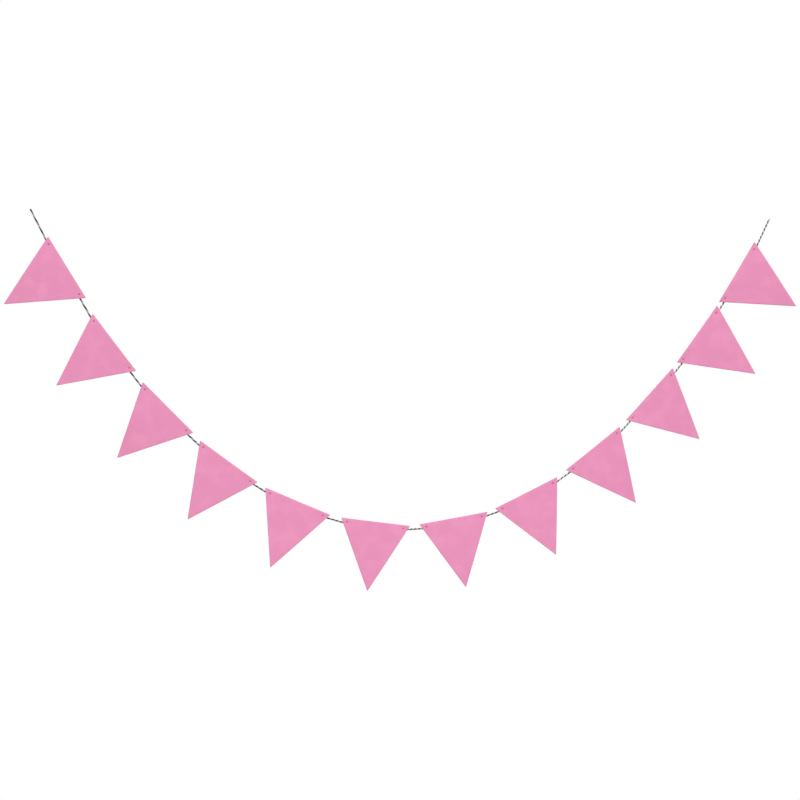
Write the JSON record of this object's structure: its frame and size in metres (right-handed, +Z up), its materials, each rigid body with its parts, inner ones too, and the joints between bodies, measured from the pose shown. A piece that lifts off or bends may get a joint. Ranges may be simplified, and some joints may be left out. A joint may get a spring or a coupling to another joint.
{
  "type": "fabric bunting",
  "caption": "Garland of pink felt triangle pennants with punched corners, strung on black-and-white twisted twine that hangs in a curve from its two ends.",
  "frame": {"origin": "the left end of the twine, on the middle of the twine, where the garland is held", "axes": "+X to the right along the garland, +Y away from the viewer through the flat of the pennants, +Z up"},
  "size_m": [1.6913, 0.0124, 0.817],
  "materials": {
    "felt_pink": "matte pressed felt in one even pink, with short matted fibres and cleanly cut edges",
    "twine_black_white": "soft two-ply cotton twine, one black ply twisted round one white ply"
  },
  "bodies": {
    "root": {"pennant_01": "felt_pink", "pennant_02": "felt_pink", "pennant_03": "felt_pink", "pennant_04": "felt_pink", "pennant_05": "felt_pink", "pennant_06": "felt_pink", "pennant_07": "felt_pink", "pennant_08": "felt_pink", "pennant_09": "felt_pink", "pennant_10": "felt_pink", "pennant_11": "felt_pink", "pennant_12": "felt_pink", "twine": "twine_black_white"}
  },
  "joints": []
}
